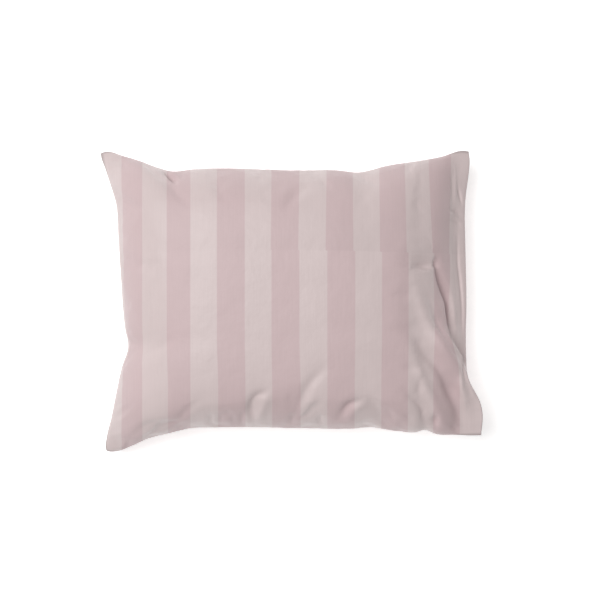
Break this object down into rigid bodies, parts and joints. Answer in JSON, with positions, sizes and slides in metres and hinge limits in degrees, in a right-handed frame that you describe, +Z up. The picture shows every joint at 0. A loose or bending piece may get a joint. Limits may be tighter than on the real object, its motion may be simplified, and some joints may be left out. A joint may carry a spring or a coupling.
{
  "type": "filled pillowcase",
  "caption": "Rectangular pillowcase of tone-on-tone striped sateen, filled, with thin corner ears, slack cloth at its open hemmed mouth, and a flat underside.",
  "frame": {"origin": "on the surface it lies on, under the middle of the outline", "axes": "+X along the length, from the sewn end to the open mouth; +Y across the width; +Z up, out of the face that shows"},
  "size_m": [0.6056, 0.4831, 0.15],
  "materials": {
    "pillowcase": "dusty pink cotton sateen in two close tones of stripe, soft sheen"
  },
  "bodies": {
    "root": {"pillowcase": "pillowcase"}
  },
  "joints": []
}
